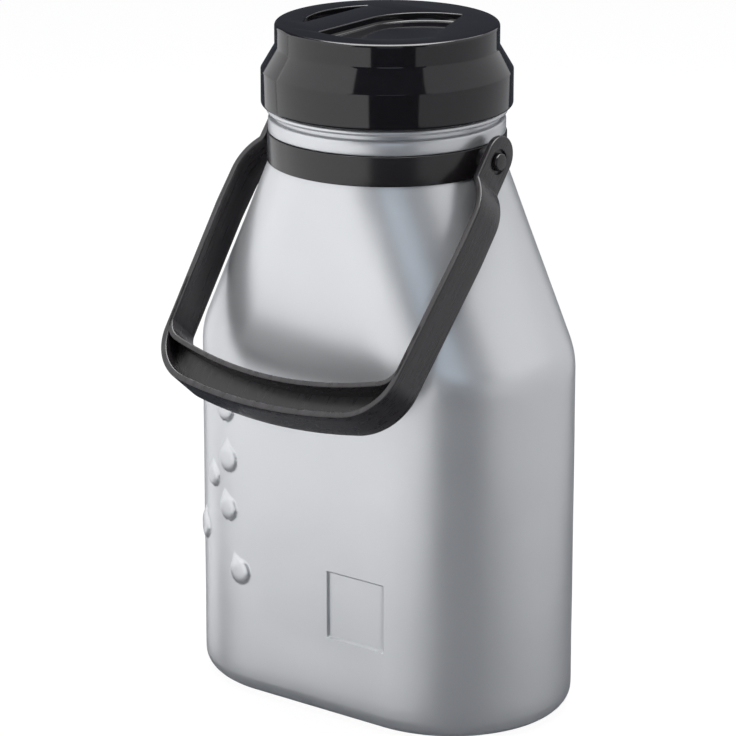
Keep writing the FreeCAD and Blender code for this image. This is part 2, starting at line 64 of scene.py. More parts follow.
def gridFaces(rows, columns, closeRows=False, closeColumns=True):
    # quads of a grid stored row by row; a closed direction wraps back to its start
    i = np.arange(rows if closeRows else rows - 1)[:, None]
    j = np.arange(columns if closeColumns else columns - 1)[None, :]
    nextRow, nextColumn = (i + 1) % rows, (j + 1) % columns
    quads = np.stack([i * columns + j, i * columns + nextColumn,
                      nextRow * columns + nextColumn, nextRow * columns + j], -1)
    return quads.reshape(-1, 4)


def meshObject(name, parts, material, body, smoothAngle=35):
    # parts are (points in millimetres, faces); they become one object at the origin
    points, faces, start = [], [], 0
    for part, quads in parts:
        flat = np.asarray(part, float).reshape(-1, 3)
        points.append(flat)
        faces += [tuple(int(k) + start for k in quad) for quad in quads]
        start += len(flat)
    mesh = bpy.data.meshes.new(name)
    mesh.from_pydata((np.concatenate(points) * mm).tolist(), [], faces)
    piece = bpy.data.objects.new(name, mesh)
    bpy.context.scene.collection.objects.link(piece)
    bpy.context.view_layer.objects.active = piece
    bpy.ops.object.select_all(action="DESELECT")
    piece.select_set(True)
    bpy.ops.object.mode_set(mode="EDIT")
    bpy.ops.mesh.select_all(action="SELECT")
    bpy.ops.mesh.remove_doubles(threshold=0.002 * mm)       # seams, poles and joins close here
    bpy.ops.mesh.normals_make_consistent(inside=False)
    bpy.ops.object.mode_set(mode="OBJECT")
    bpy.ops.object.shade_smooth_by_angle(angle=math.radians(smoothAngle))
    mesh.materials.append(material)
    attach(piece, body)
    print("  ", name, len(mesh.polygons), "faces")
    return piece


def revolve(profile, steps, axis="Z", centre=(0, 0, 0)):
    # a profile of (radius, height) pairs turned round an axis through the centre
    radius, height = np.asarray(profile, float).T
    angle = np.linspace(0, 2 * np.pi, steps, endpoint=False)
    ring = np.stack([np.outer(radius, np.cos(angle)), np.outer(radius, np.sin(angle)),
                     np.repeat(height[:, None], steps, 1)], -1)
    if axis == "X":
        ring = ring[..., [2, 0, 1]]
    return ring + np.asarray(centre), gridFaces(len(radius), steps)


def arcPoints(centre, radius, start, end, steps=6):
    # points on a circle arc between two angles in degrees
    angle = np.radians(np.linspace(start, end, steps))
    return np.stack([centre[0] + radius * np.cos(angle), centre[1] + radius * np.sin(angle)], 1)


def parabola(start, corner, end, steps):
    # a curve that leaves the start and meets the end along the lines to the corner
    t = np.linspace(0, 1, steps)[:, None]
    return (1 - t) ** 2 * start + 2 * t * (1 - t) * corner + t ** 2 * end


def smoothStep(edge0, edge1, x):
    # rises from 0 to 1 between the edges, level at both
    t = np.clip((x - edge0) / (edge1 - edge0), 0, 1)
    return t * t * (3 - 2 * t)


class Wire:
    # one socket, with arithmetic that adds Math nodes
    def __init__(self, graph, socket):
        self.graph, self.socket = graph, socket

    def __add__(self, other):
        return self.graph.maths("ADD", self, other)

    def __sub__(self, other):
        return self.graph.maths("SUBTRACT", self, other)

    def __rsub__(self, other):
        return self.graph.maths("SUBTRACT", other, self)

    def __mul__(self, other):
        return self.graph.maths("MULTIPLY", self, other)

    __radd__ = __add__
    __rmul__ = __mul__

    def other(self, name):
        return Wire(self.graph, self.socket.node.outputs[name])


class Graph:
    def __init__(self, owner):
        owner.use_nodes = True
        self.tree = owner.node_tree
        self.tree.nodes.clear()

    def add(self, kind, settings=None, values=None, out=0):
        # settings come first, then values or links of the inputs by name or number
        node = self.tree.nodes.new(kind)
        for key, value in (settings or {}).items():
            if key == "stops":
                ramp = node.color_ramp
                while len(ramp.elements) < len(value):
                    ramp.elements.new(0.5)
                for element, (position, colour) in zip(ramp.elements, value):
                    element.position, element.color = position, (*colour, 1)
            else:
                setattr(node, key, value)
        for key, value in (values or {}).items():
            if isinstance(value, Wire):
                self.tree.links.new(value.socket, node.inputs[key])
            else:
                node.inputs[key].default_value = value
        return Wire(self, node.outputs[out]) if len(node.outputs) else node

    def maths(self, operation, *operands):
        values = dict(enumerate(operands))
        return self.add("ShaderNodeMath", {"operation": operation}, values)

    def mixColour(self, factor, first, second, blend="MIX"):
        values = {0: factor, 6: first, 7: second}
        return self.add("ShaderNodeMix", {"data_type": "RGBA", "blend_type": blend}, values, 2)

    def noise(self, coordinates, scale, detail=2.0, roughness=0.5):
        values = {"Vector": coordinates, "Scale": scale, "Detail": detail, "Roughness": roughness}
        return self.add("ShaderNodeTexNoise", {}, values, "Fac")

    def bump(self, height, strength, distance):
        values = {"Strength": strength, "Distance": distance, "Height": height}
        return self.add("ShaderNodeBump", {}, values)

    def stretched(self, coordinates, scale):
        return self.add("ShaderNodeMapping", {}, {"Vector": coordinates, "Scale": scale})

    def turned(self, coordinates, degrees):
        turn = (math.radians(degrees), 0, 0)
        return self.add("ShaderNodeMapping", {}, {"Vector": coordinates, "Rotation": turn})


def newMaterial(name, build):
    material = bpy.data.materials.new(name)
    graph = Graph(material)
    place = graph.add("ShaderNodeTexCoord", out="Object")
    sockets = build(graph, place)
    shader = graph.add("ShaderNodeBsdfPrincipled", {}, sockets)
    graph.add("ShaderNodeOutputMaterial", {}, {"Surface": shader})
    return material


def grey(level, blueness=0.0):
    # a neutral level, cooled a little by its blueness
    return (level * (1 - blueness), level, level * (1 + blueness), 1)


silverFinish = {"light": (0.566, 0.573, 0.587, 1), "dark": (0.506, 0.513, 0.529, 1), "metal": 0.76,
                "roughness": 0.28, "roughnessSpread": 0.10, "flakeBump": 0.03,
                "mottleScale": 18, "flakeScale": 2600, "skinScale": 60}


def silverPlastic(graph, place):
    # pigmented silver plastic: broad faint mottling, fine flake, a slightly uneven skin
    look = silverFinish
    mottle = graph.noise(place, look["mottleScale"], 3)
    flake = graph.noise(place, look["flakeScale"], 2, 0.7)
    skin = graph.noise(place, look["skinScale"], 3)
    colour = graph.mixColour(mottle * 0.7 + flake * 0.3, look["dark"], look["light"])
    bump = graph.bump(flake * 0.6 + skin * 1.4, look["flakeBump"], 0.0002)
    return {"Base Color": colour, "Metallic": look["metal"], "Normal": bump,
            "Roughness": skin * look["roughnessSpread"] + look["roughness"]}


blackFinish = {"dark": (0.007, 0.006, 0.0068, 1), "light": (0.018, 0.0155, 0.0175, 1),
               "roughness": 0.23, "roughnessSpread": 0.16, "lean": 39.9,
               "dragScale": (420, 1100, 30), "grainScale": 1500, "grainBump": 0.12}


def satinBlack(graph, place):
    # satin black plastic with drag lines along the handle's arms and a fine moulded grain
    look = blackFinish
    along = graph.turned(place, look["lean"])
    drag = graph.noise(graph.stretched(along, look["dragScale"]), 1.0, 3, 0.6)
    grain = graph.noise(place, look["grainScale"], 2)
    streaks = drag * 2.5 - 0.75                     # the noise's middle range widened to 0 to 1
    bump = graph.bump(drag * 0.6 + grain * 0.5, look["grainBump"], 0.0002)
    return {"Base Color": graph.mixColour(streaks, look["dark"], look["light"]), "Normal": bump,
            "Roughness": streaks * look["roughnessSpread"] + look["roughness"]}


bandFinish = {"dark": (0.006, 0.0052, 0.0058, 1), "light": (0.012, 0.010, 0.011, 1),
              "roughness": 0.16, "roughnessSpread": 0.12, "flowScale": (90, 90, 1400),
              "flowBump": 0.06}


def bandBlack(graph, place):
    # smoother black than the handle's, with faint flow lines that run round the ring
    look = bandFinish
    flow = graph.noise(graph.stretched(place, look["flowScale"]), 1.0, 3, 0.6)
    return {"Base Color": graph.mixColour(flow, look["dark"], look["light"]),
            "Normal": graph.bump(flow, look["flowBump"], 0.0002),
            "Roughness": flow * look["roughnessSpread"] + look["roughness"]}


glossFinish = {"dark": (0.0026, 0.0022, 0.003, 1), "light": (0.0052, 0.0046, 0.0056, 1),
               "roughness": 0.07, "roughnessSpread": 0.02, "waveScale": 35, "waveBump": 0.03,
               "markScale": 260}


def glossBlack(graph, place):
    # polished black plastic, with only a slow waviness and a trace of handling marks
    look = glossFinish
    wave = graph.noise(place, look["waveScale"], 2)
    marks = graph.noise(place, look["markScale"], 4, 0.6)
    return {"Base Color": graph.mixColour(marks, look["dark"], look["light"]),
            "Normal": graph.bump(wave, look["waveBump"], 0.0005),
            "Roughness": marks * look["roughnessSpread"] + look["roughness"]}


silver = newMaterial("silverPlastic", silverPlastic)
satin = newMaterial("satinBlack", satinBlack)
bandSkin = newMaterial("bandBlack", bandBlack)
gloss = newMaterial("glossBlack", glossBlack)
print("materials made")


canFit = 0.02
can = {"halfSpan": round(canHigh[0] - canHigh[1] - canFit, 2), "radius": canHigh[1],
       "baseRounding": 7.0, "shoulder": 136.0, "bend": 5.5,
       "neckHeight": bandLow[2], "neckRadius": 43.3,
       "seatRadius": 42.0, "seatTop": bandHigh[2] + 0.1,
       "collarRadius": 43.5, "collarTop": 220.8, "grooveRadius": 41.7, "grooveTop": 222.6,
       "beadRadius": 44.2, "beadTop": lidLow[2] - 0.3, "spigotRadius": 38.5}
badge = {"left": 6.5, "bottom": 31.8, "side": 26.1, "depth": 1.1, "wall": 0.6, "sill": 0.3}
dropShape = {"radius": 5.2, "length": 14.0, "relief": 1.25, "soft": 0.22, "curl": 2.0, "waist": 1.6,
             "fullness": 2.0}
dropField = {"inset": 9, "low": 36, "high": 124}
blown = {"level": 0.16, "longRipple": 0.10, "shortRipple": 0.05, "base": (12, 30), "neck": (200, 180)}
# azimuth round the left end from the front, height of the bulb, lean of the tip, size
drops = np.array([(15.2, 111.2, 0, 1.0), (13.4, 91.8, 0, 1.0), (26.3, 82.7, 0, 0.86),
                  (13.5, 72.3, 15, 0.95), (39.0, 59.5, 0, 1.0), (5.5, 48.7, 23, 0.95),
                  (68.0, 96.0, 0, 1.0), (78.0, 73.0, -12, 0.9), (96.0, 106.0, 10, 0.95),
                  (104.0, 55.0, 0, 1.0), (124.0, 86.0, -18, 0.9)])


def canProfile():
    # height, half span and radius of every ring: base, rounding, wall, bend, slope and neck
    c, r, fillet = can["halfSpan"], can["radius"], can["baseRounding"]
    foot = [(0.0, c * share, (r - fillet) * share) for share in (0, 0.3, 0.6, 0.85)]
    turn = np.radians(np.linspace(0, 90, 10))
    foot += [(fillet * (1 - math.cos(a)), c, r - fillet + fillet * math.sin(a)) for a in turn]

    # rings crowd at the recess's sill and lintel, and over the height that the drops take up
    low, top = badge["bottom"], badge["bottom"] + badge["side"]
    sill = low + np.array([-0.6, -0.1, 0.15, 0.4, 0.8])
    lintel = top + np.array([-0.8, -0.4, -0.15, 0.1])
    levels = [[12, 18, 24, 29, 124], sill, lintel, np.arange(low + 2, 42, 1.3), np.arange(42, 122, 0.46)]
    wall = [(z, c, r) for z in np.sort(np.concatenate(levels))]

    # the bend is a parabola that starts level with the wall and ends on the slope
    shoulder, half, neckHeight = can["shoulder"], can["bend"], can["neckHeight"]
    spanSlope = c / (neckHeight - shoulder)
    radiusSlope = (r - can["neckRadius"]) / (neckHeight - shoulder)
    bend = [(shoulder + half * (2 * k - 1), c - spanSlope * half * k ** 2, r - radiusSlope * half * k ** 2)
            for k in np.linspace(0, 1, 15)]
    slope = [(z, spanSlope * (neckHeight - z), can["neckRadius"] + radiusSlope * (neckHeight - z))
             for z in np.linspace(shoulder + half, neckHeight, 14)[1:]]
    neck = [(z, 0.0, radius) for radius, z in neckProfile()]
    return np.array(foot + wall + bend + slope + neck)


def neckProfile():
    # radius and height: band seat, collar with softened edges, groove, round bead, spigot's top
    parts = ("seat", "collar", "groove", "bead")
    seat, collar, groove, bead = (can[part + "Radius"] for part in parts)
    seatTop, collarTop, grooveTop, beadTop = (can[part + "Top"] for part in parts)
    neck = [(seat, can["neckHeight"] + canFit), (seat, seatTop - 0.1),
            (collar - 0.5, seatTop + 0.02), (collar - 0.12, seatTop + 0.18), (collar, seatTop + 0.55),
            (collar, collarTop - 0.9), (collar - 0.2, collarTop - 0.35),
            (collar - 0.7, collarTop - 0.02), (groove, collarTop + 0.2),
            (groove, grooveTop - 0.15), (groove + 0.5, grooveTop + 0.02)]
    middle, half = (grooveTop + beadTop) / 2, (beadTop - grooveTop) / 2
    neck += arcPoints((bead - half, middle), half, -75, 80, 11).tolist()
    return neck + [(can["spigotRadius"] * share, beadTop) for share in (1, 0.5, 0)]


def canColumns():
    # directions round the axis: fine over the drops and at the badge's edges, coarse elsewhere
    c, r = can["halfSpan"], can["radius"]
    left, right = badge["left"], badge["left"] + badge["side"]
    across = np.concatenate([np.arange(-c, 8 - c, 0.45), np.linspace(8 - c, left - 2, 7)[:-1],
                             left + np.array([-2, -0.6, -0.1, 0.15, 0.4, 0.8]),
                             np.linspace(left + 3, right - 3, 6),
                             right - np.array([0.8, 0.4, 0.15, -0.1, -0.6])])
    front = np.arctan2(-np.sqrt(r ** 2 - np.clip(across - c, 0, None) ** 2), across)
    turn = np.radians(np.linspace(6, 90, 26))
    rightHalf = np.arctan2(-r * np.cos(turn), c + r * np.sin(turn))
    behind = np.radians(np.linspace(4, 90, 24))
    rightBack = np.arctan2(r * np.sin(behind), c + r * np.cos(behind))
    back = np.arctan2(r, np.linspace(c, -c, 11)[1:])
    around = np.radians(np.concatenate([np.linspace(0, 52, 92), np.linspace(52, 133, 116)[1:],
                                        np.linspace(133, 180, 14)[1:]]))
    leftEnd = np.arctan2(-r * np.cos(around), -c - r * np.sin(around))
    columns = np.concatenate([front, rightHalf, rightBack, back, leftEnd]) % (2 * np.pi)
    return np.unique(np.round(columns, 6))


def dropRelief(azimuth, height):
    # half width is a circle below and a pinched cone above; the relief across it is a full dome,
    # 1 - (1 - half circle) to a power, and the highest of the drops counts where they meet
    relief = np.zeros_like(height)
    soft = dropShape["soft"]
    for centre, level, lean, size in drops:
        sideways = can["radius"] * (azimuth - math.radians(centre))
        upwards = height - level
        tilt = math.radians(lean)
        across = sideways * math.cos(tilt) - upwards * math.sin(tilt)
        along = sideways * math.sin(tilt) + upwards * math.cos(tilt)
        radius = dropShape["radius"] * size
        tip = dropShape["length"] * size - radius
        slant = math.asin(radius / tip)
        neck = radius * math.sin(slant)
        rise = np.clip((along - neck) / (tip - neck), 0, 1)
        across = across + dropShape["curl"] * rise * (rise - 0.9)
        ball = np.sqrt(np.clip(radius ** 2 - along ** 2, 0, None))
        tail = radius * math.cos(slant) * (1 - rise) ** dropShape["waist"]
        width = np.where(along > neck, tail, ball)
        inside = np.clip(width ** 2 - across ** 2, 0, None)
        dome = np.clip((np.sqrt(inside + soft ** 2) - soft) / radius, 0, 1)
        full = 1 - (1 - dome) ** dropShape["fullness"]
        relief = np.maximum(relief, full * dropShape["relief"])
    return relief


def badgeSink(x, z):
    # depth of the square recess: a soft step inwards from each of its four sides
    left, low, side, wall = (badge[key] for key in ("left", "bottom", "side", "wall"))
    across = smoothStep(left, left + wall, x) * smoothStep(left + side, left + side - wall, x)
    up = smoothStep(low, low + badge["sill"], z) * smoothStep(low + side, low + side - wall, z)
    return badge["depth"] * across * up


def blownSlack(x, z):
    # blown walls fall short of their mould: a level plus a long and a short ripple, fading out
    # towards the base and the neck
    ripple = blown["longRipple"] * np.sin(x / 23 + 1.3) * np.sin(z / 37 + 0.4)
    ripple = ripple + blown["shortRipple"] * np.sin(x / 9 + z / 14) * np.sin(z / 21)
    return (blown["level"] + ripple) * smoothStep(*blown["base"], z) * smoothStep(*blown["neck"], z)


def canShell():
    # every ring is a stadium, met by rays from the axis; relief moves points along its normal
    height, span, radius = (column[:, None] for column in canProfile().T)
    angle = canColumns()[None, :]
    cosine, sine = np.cos(angle), np.sin(angle)
    ends = span * np.abs(cosine) + np.sqrt(np.clip(radius ** 2 - (span * sine) ** 2, 0, None))
    flats = radius / np.maximum(np.abs(sine), 1e-6)
    reach = np.where(flats * np.abs(cosine) <= span, flats, ends)
    x, y = reach * cosine, reach * sine
    z = height + 0 * x
    centre = np.clip(x, -span, span)
    away = np.maximum(np.hypot(x - centre, y), 1e-9)

    azimuth = np.arctan2(-(x + can["halfSpan"]), -y)
    tangent, field = -can["halfSpan"], dropField
    onLeft = (x < tangent + field["inset"]) & (z > field["low"]) & (z < field["high"])
    onBack = (x > tangent - 0.001) & (y > 0)
    relief = np.where(onLeft & ~onBack, dropRelief(azimuth, z), 0)
    relief = relief - np.where(y < 0, badgeSink(x, z), 0) - blownSlack(x, z)
    points = np.stack([x + (x - centre) / away * relief, y + y / away * relief, z], -1)
    return points, gridFaces(*x.shape)


shell = meshObject("canShell", [canShell()], silver, "can", 50)
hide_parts("can_body")
print("can shell made")


band = {"bore": 42.1, "radius": 43.9, "bottom": bandLow[2] + canFit, "top": bandHigh[2], "soft": 0.35}
hinge = {"height": hingeHeight, "bossStart": 43.0, "bossEnd": 47.5, "bossRadius": 4.9,
         "pinRadius": 2.2, "headStart": 49.5, "headEnd": bandHigh[0] - 0.5, "headRadius": 3.3,
         "headSoft": 0.8, "soft": 0.3, "lap": 0.1}


def bandRing():
    # a closed ring section with softened rims
    b = band
    corner = arcPoints((b["radius"] - b["soft"], b["top"] - b["soft"]), b["soft"], 0, 90, 5)
    foot = arcPoints((b["radius"] - b["soft"], b["bottom"] + b["soft"]), b["soft"], -90, 0, 5)
    profile = np.concatenate([[(b["bore"], b["bottom"])], foot, corner, [(b["bore"], b["top"])]])
    points = revolve(profile, 160)[0]
    return points, gridFaces(len(profile), 160, closeRows=True)


def roundedDisc(start, end, radius, soft, steps=40):
    # a disc on the hinge axis whose outer face has a rounded rim
    rim = arcPoints((radius - soft, end - soft), soft, 0, 90, 6)
    profile = np.concatenate([[(0, start), (radius, start)], rim, [(0, end)]])
    return revolve(profile, steps, "X", (0, 0, hinge["height"]))


def mirrored(part):
    # the same part on the other side of the can
    points, faces = part
    return points * np.array([-1, 1, 1]), faces


def hingeSide():
    # boss, pin and head of the right side, each lapped into the next
    h, lap = hinge, hinge["lap"]
    return [roundedDisc(h["bossStart"], h["bossEnd"], h["bossRadius"], h["soft"]),
            roundedDisc(h["bossEnd"] - lap, h["headStart"] + lap, h["pinRadius"], 0.02),
            roundedDisc(h["headStart"], h["headEnd"], h["headRadius"], h["headSoft"])]


discs = hingeSide()
bandParts = [bandRing()] + discs + [mirrored(disc) for disc in discs]
neckBand = meshObject("neckBand", bandParts, bandSkin, "can")
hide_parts("neck_band")
print("neck band made")


lidShape = {"foot": lidLow[2], "bore": 38.8, "skirt": lidHigh[0] - 0.01, "skirtTop": 238.3,
            "crown": 41.0, "coneTop": 246.9, "top": lidHigh[2], "roof": 248.2,
            "footRound": 1.2, "topRound": 1.2, "coneRound": 0.5,
            "reach": 30.5, "depth": 3.2, "lip": 0.45, "scoopFoot": 1.1, "cornerRound": 2.2,
            "ridgeLeft": 23.5, "ridgeRight": 8.8, "front": -22, "back": 62, "hook": 8, "flare": 27.0}


def lidSide():
    # from the bore's roof down inside, round the foot, up the skirt and cone to the top's rim
    s = lidShape
    low, high, r = s["footRound"], s["topRound"], s["coneRound"]
    foot = arcPoints((s["skirt"] - low, s["foot"] + low), low, -90, 0, 7)
    top = arcPoints((s["crown"] - high, s["top"] - high), high, 0, 90, 8)
    slope = math.degrees(math.atan2(s["coneTop"] - s["skirtTop"], s["skirt"] - s["crown"]))
    half = math.radians((90 - slope) / 2)
    knee = arcPoints((s["skirt"] - r, s["skirtTop"] - r * math.tan(half)), r, 0, 90 - slope, 4)
    hollow = [(s["crown"] + 0.25, s["coneTop"] - 0.45), (s["crown"] + 0.06, s["coneTop"] - 0.1),
              (s["crown"], s["coneTop"] + 0.3)]
    inner = [(0, s["roof"]), (s["bore"], s["roof"]), (s["bore"], s["foot"] + 0.15),
             (s["bore"] + 0.3, s["foot"])]
    return revolve(np.concatenate([inner, foot, knee, hollow, top]), 160)


def filletOutline(corners, radius, steps=6):
    # closed outline whose sharp corners become arcs tangent to their neighbours
    corners = np.asarray(corners, float)
    before, after = np.roll(corners, 1, 0), np.roll(corners, -1, 0)
    rounded = []
    for previous, corner, following in zip(before, corners, after):
        u = (previous - corner) / np.linalg.norm(previous - corner)
        v = (following - corner) / np.linalg.norm(following - corner)
        turn = math.acos(np.clip(u @ v, -1, 1))
        if turn > math.radians(165):
            rounded.append(corner[None])
            continue
        cut = min(radius / math.tan(turn / 2), 0.45 * np.linalg.norm(previous - corner),
                  0.45 * np.linalg.norm(following - corner))
        rounded.append(parabola(corner + u * cut, corner, corner + v * cut, steps))
    return np.concatenate(rounded)


def sparse(points, spacing):
    # drop points closer together than the spacing
    kept = [points[0]]
    for point in points[1:]:
        if np.linalg.norm(point - kept[-1]) > spacing:
            kept.append(point)
    return np.array(kept)


def inward(outline, distance):
    # the outline moved to its inner side, for one that runs counter-clockwise
    ahead = np.roll(outline, -1, 0) - np.roll(outline, 1, 0)
    ahead /= np.linalg.norm(ahead, axis=1)[:, None]
    return outline + distance * np.stack([-ahead[:, 1], ahead[:, 0]], 1)


def rightScoop():
    # straight along the ridge, round the front on the reach, then a flared back edge to the hook
    s = lidShape
    reach, x = s["reach"], -s["ridgeRight"]
    first = math.degrees(math.atan2(-math.sqrt(reach ** 2 - x ** 2), x))
    edge = arcPoints((0, 0), reach, first, s["front"], 40)
    side = arcPoints((0, 0), reach, s["front"], s["back"], 2)
    hook = np.array([x, reach * math.sin(math.radians(s["hook"]))])
    chord = hook - side[1]
    sideways = np.array([chord[1], -chord[0]]) / np.linalg.norm(chord)
    rise = s["flare"] - math.sqrt(s["flare"] ** 2 - (np.linalg.norm(chord) / 2) ** 2)
    middle = side[1] + chord / 2 + sideways * (rise - s["flare"])
    a0 = math.degrees(math.atan2(*(side[1] - middle)[::-1]))
    a1 = math.degrees(math.atan2(*(hook - middle)[::-1]))
    flare = arcPoints(middle, s["flare"], a0, a1 % 360 if a1 < a0 else a1, 24)
    straight = np.linspace(side[0], side[1], 3)[1:-1]
    return filletOutline(sparse(np.concatenate([edge, straight, flare]), 0.5), s["cornerRound"])


def leftScoop():
    # the part of the same circle that lies beyond the ridge
    s = lidShape
    x = -s["ridgeLeft"]
    first = math.degrees(math.atan2(math.sqrt(s["reach"] ** 2 - x ** 2), x))
    edge = arcPoints((0, 0), s["reach"], first, 360 - first, 40)
    return filletOutline(edge, s["cornerRound"] * 0.8)


def scoopWalls(outline):
    # rounded lip, wall and rounded foot, down to the scoop's floor
    s, lip, foot = lidShape, lidShape["lip"], lidShape["scoopFoot"]
    low = s["top"] - s["depth"]
    turn = np.radians(np.linspace(0, 90, 6))
    rings = [(lip * math.sin(a) - lip, s["top"] - lip + lip * math.cos(a)) for a in turn]
    rings += [(foot * (1 - math.cos(a)), low + foot * (1 - math.sin(a))) for a in turn]
    lofted = [np.column_stack([inward(outline, offset), np.full(len(outline), z)])
              for offset, z in rings]
    floor = inward(outline, rings[-1][0])
    flat = [Vector((x, y, 0)) for x, y in floor]
    bottom = np.column_stack([floor, np.full(len(floor), low)])
    return (np.array(lofted), gridFaces(len(rings), len(outline))), (bottom, tessellate_polygon([flat]))


def lidPlate(outlines):
    # the flat top between its rim and the scoops' lips
    s = lidShape
    rim = arcPoints((0, 0), s["crown"] - s["topRound"], 0, 360, 161)[:-1]
    holes = [inward(outline, -s["lip"]) for outline in outlines]
    loops = [[Vector((x, y, 0)) for x, y in loop] for loop in [rim] + holes]
    flat = np.concatenate([rim] + holes)
    return np.column_stack([flat, np.full(len(flat), s["top"])]), tessellate_polygon(loops)


scoops = [rightScoop(), leftScoop()]
lidParts = [lidSide(), lidPlate(scoops)]
for scoop in scoops:
    lidParts += scoopWalls(scoop)
lidCap = meshObject("lidCap", lidParts, gloss, "can", 30)
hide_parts("lid")
print("lid made")


bail = {"angle": 39.9, "halfWidth": 7.7, "half": 1.25, "soft": 0.55,
        "eyeOffset": 49.05, "eyeDrop": 8.5, "eyeRise": 2.0,
        "armOffset": 55.9, "armStart": 23.0, "taper": math.radians(3.2)}
kink = {"armX": 55.05, "radius": 19.25, "level": 24.5, "cut": 0.9}
crossbar = {"reach": 111.9, "bar": 198.3, "corner": 19.2}
grip = {"reach": 100.8, "bar": 161.0, "corner": 8.2, "start": 70.0, "inset": 0.15, "half": 1.05}
web = {"front": 0.3, "back": 2.8, "stations": 160}
eye = {"bore": 2.26, "sink": 4.6, "sinkDepth": 0.9, "sinkSoft": 0.25}


def circleRun(centre, radius, start, end, step=4.0):
    # arc points between two angles in radians
    steps = max(3, int(abs(math.degrees(end - start)) / step) + 1)
    return arcPoints(centre, radius, math.degrees(start), math.degrees(end), steps)


def bailRun(start, shape):
    # arm, corner and crossbar down to the middle, each tangent to the next
    lean, bend, bar = bail["taper"], shape["corner"], shape["bar"]
    down = np.array([-math.sin(lean), -math.cos(lean)])
    side = np.array([-math.cos(lean), math.sin(lean)])
    barCentre = np.array([0, bar - shape["reach"]])
    offset = np.array(start) + side * bend - barCentre
    along = offset @ down
    travel = -along + math.sqrt(along ** 2 - offset @ offset + (bar - bend) ** 2)
    cornerCentre = barCentre + offset + down * travel
    heading = math.atan2(*(cornerCentre - barCentre)[::-1])
    arm = np.linspace(start, np.array(start) + down * travel, 8)
    corner = circleRun(cornerCentre, bend, -lean, heading, 3)[1:]
    middle = circleRun(barCentre, bar, heading, -math.pi / 2, 1.2)[1:]
    return np.concatenate([arm, corner, middle])


def offsetRun():
    # straight strap below the eye, one crisp kink outwards, then a long arc round into the arm
    run, top = kink, bail["eyeOffset"]
    centre = np.array([run["armX"] - run["radius"], -run["level"]])
    start = math.acos((top - centre[0]) / run["radius"])
    arc = circleRun(centre, run["radius"], start, 0, 3)
    ahead = (arc[1] - arc[0]) / np.linalg.norm(arc[1] - arc[0])
    bend = parabola(arc[0] + np.array([0, run["cut"]]), arc[0], arc[0] + ahead * run["cut"], 9)
    return np.concatenate([[(top, -bail["eyeDrop"])], bend, arc[1:]])


def bothHalves(half):
    # a run that ends in the middle, carried on to its mirror image
    return np.concatenate([half, (half * np.array([-1, 1]))[::-1][1:]])


def facing(run):
    # unit normals to the run, away from the bail's inside
    ahead = np.gradient(run, axis=0)
    ahead /= np.linalg.norm(ahead, axis=1)[:, None]
    return np.stack([-ahead[:, 1], ahead[:, 0]], 1)


def swept(run, ring):
    # ring points are (outward, across); the run lies in the bail's own plane
    normal = facing(run)
    flat = run[:, None, :] + normal[:, None, :] * ring[None, :, :1]
    across = np.broadcast_to(ring[None, :, 1], flat.shape[:2])
    return np.stack([flat[..., 0], across, flat[..., 1]], -1)


def strapRing(half, soft, flats=3):
    # rounded rectangle: outer face's back corner, outer face, front corner, then the inner face
    w, inner = bail["halfWidth"] - soft, half - soft
    face = np.linspace(w, -w, flats + 2)[1:-1]
    outerFace = np.column_stack([np.full(flats, half), face])
    innerFace = np.column_stack([np.full(flats, -half), face[::-1]])
    return np.concatenate([arcPoints((inner, w), soft, 90, 0, 5), outerFace,
                           arcPoints((inner, -w), soft, 0, -90, 5),
                           arcPoints((-inner, -w), soft, -90, -180, 5), innerFace,
                           arcPoints((-inner, w), soft, 180, 90, 5)])


def capped(points, rows, columns):
    # a swept run closed by a flat face at each end
    first, last = list(range(columns)), list(range((rows - 1) * columns, rows * columns))
    return points, gridFaces(rows, columns).tolist() + [first, last[::-1]]


def plateFace(loops, offset):
    # flat face at one distance along the hinge axis; loops are (across, up), holes after the first
    flat = np.concatenate(loops)
    faces = tessellate_polygon([[Vector((y, z, 0)) for y, z in loop] for loop in loops])
    return np.column_stack([np.full(len(flat), offset), flat]), faces


def hingeEye():
    # strap end rounded about the hinge axis, bored, with a sunk seat for the pin's head
    w, half, soft, drop = bail["halfWidth"], bail["half"], bail["soft"], bail["eyeDrop"]
    centre = bail["eyeOffset"]
    dome = arcPoints((0, 0), 1, 180, 0, 41)
    edge = np.concatenate([[(-w, -drop)], dome * w + np.array([0, bail["eyeRise"]]), [(w, -drop)]])
    away = np.concatenate([[(-1, 0)], dome, [(1, 0)]])
    rim = np.concatenate([arcPoints((half - soft, -soft), soft, 0, 90, 5),
                          arcPoints((-half + soft, -soft), soft, 90, 180, 5)])
    rows = edge[:, None, :] + away[:, None, :] * rim[None, :, 1:]
    x = np.broadcast_to(centre + rim[None, :, 0], rows.shape[:2])
    lobe = np.stack([x, rows[..., 0], rows[..., 1]], -1)
    parts = [(lobe, gridFaces(*x.shape, closeColumns=False))]
    foot = np.column_stack([np.linspace(w - soft, -(w - soft), 5)[1:-1], np.full(3, -drop)])
    flatEdge = np.concatenate([edge - away * soft, foot])
    around = arcPoints((0, 0), 1, 0, 360, 41)[:-1]
    sink, inset = eye["sink"], eye["sinkSoft"]
    parts.append(plateFace([flatEdge, around * (sink + inset)], centre + half))
    parts.append(plateFace([flatEdge, around * eye["bore"]], centre - half))
    lip = [(sink + inset * (1 - math.sin(a)), half - inset * (1 - math.cos(a)))
           for a in np.radians(np.linspace(0, 90, 5))]
    floor = half - eye["sinkDepth"]
    well = np.array(lip + [(sink, floor), (eye["bore"], floor), (eye["bore"], -half)])
    ring = around[None] * well[:, :1, None]
    depth = np.broadcast_to(centre + well[:, 1:], ring.shape[:2])
    parts.append((np.stack([depth, ring[..., 0], ring[..., 1]], -1), gridFaces(*depth.shape)))
    return parts


